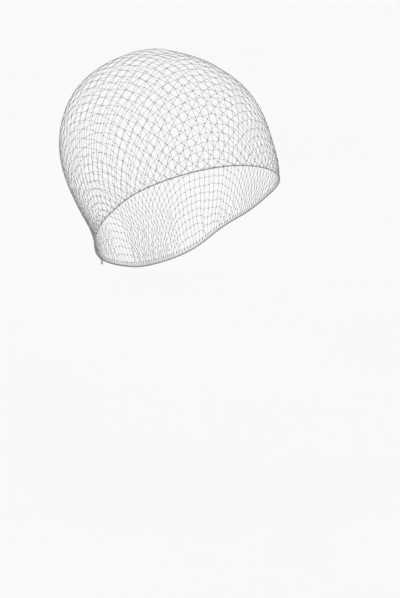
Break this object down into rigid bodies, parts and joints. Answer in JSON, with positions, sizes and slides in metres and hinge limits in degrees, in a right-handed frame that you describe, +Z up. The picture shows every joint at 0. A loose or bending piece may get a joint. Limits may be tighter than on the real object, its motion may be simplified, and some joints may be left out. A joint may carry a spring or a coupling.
{
  "type": "hairnet",
  "caption": "Close-fitting hairnet of fine knotted diamond netting, in its worn dome form, with a thin elastic cord round its open lower edge that holds it at the hairline and nape.",
  "frame": {"origin": "middle of the open lower edge, halfway along the line from the edge's front point over the forehead to its back point at the nape", "axes": "+Z up towards the crown, -Y to the front (forehead), +X to the wearer's left; the form is mirrored about X = 0"},
  "size_m": [0.1524, 0.1881, 0.1716],
  "materials": {
    "net_thread": "fine grey knotted nylon thread, slightly see-through, soft sheen",
    "elastic_cord": "grey fabric-covered elastic cord, matt"
  },
  "bodies": {
    "root": {"net_cap": "net_thread", "edge_elastic": "elastic_cord"}
  },
  "joints": []
}
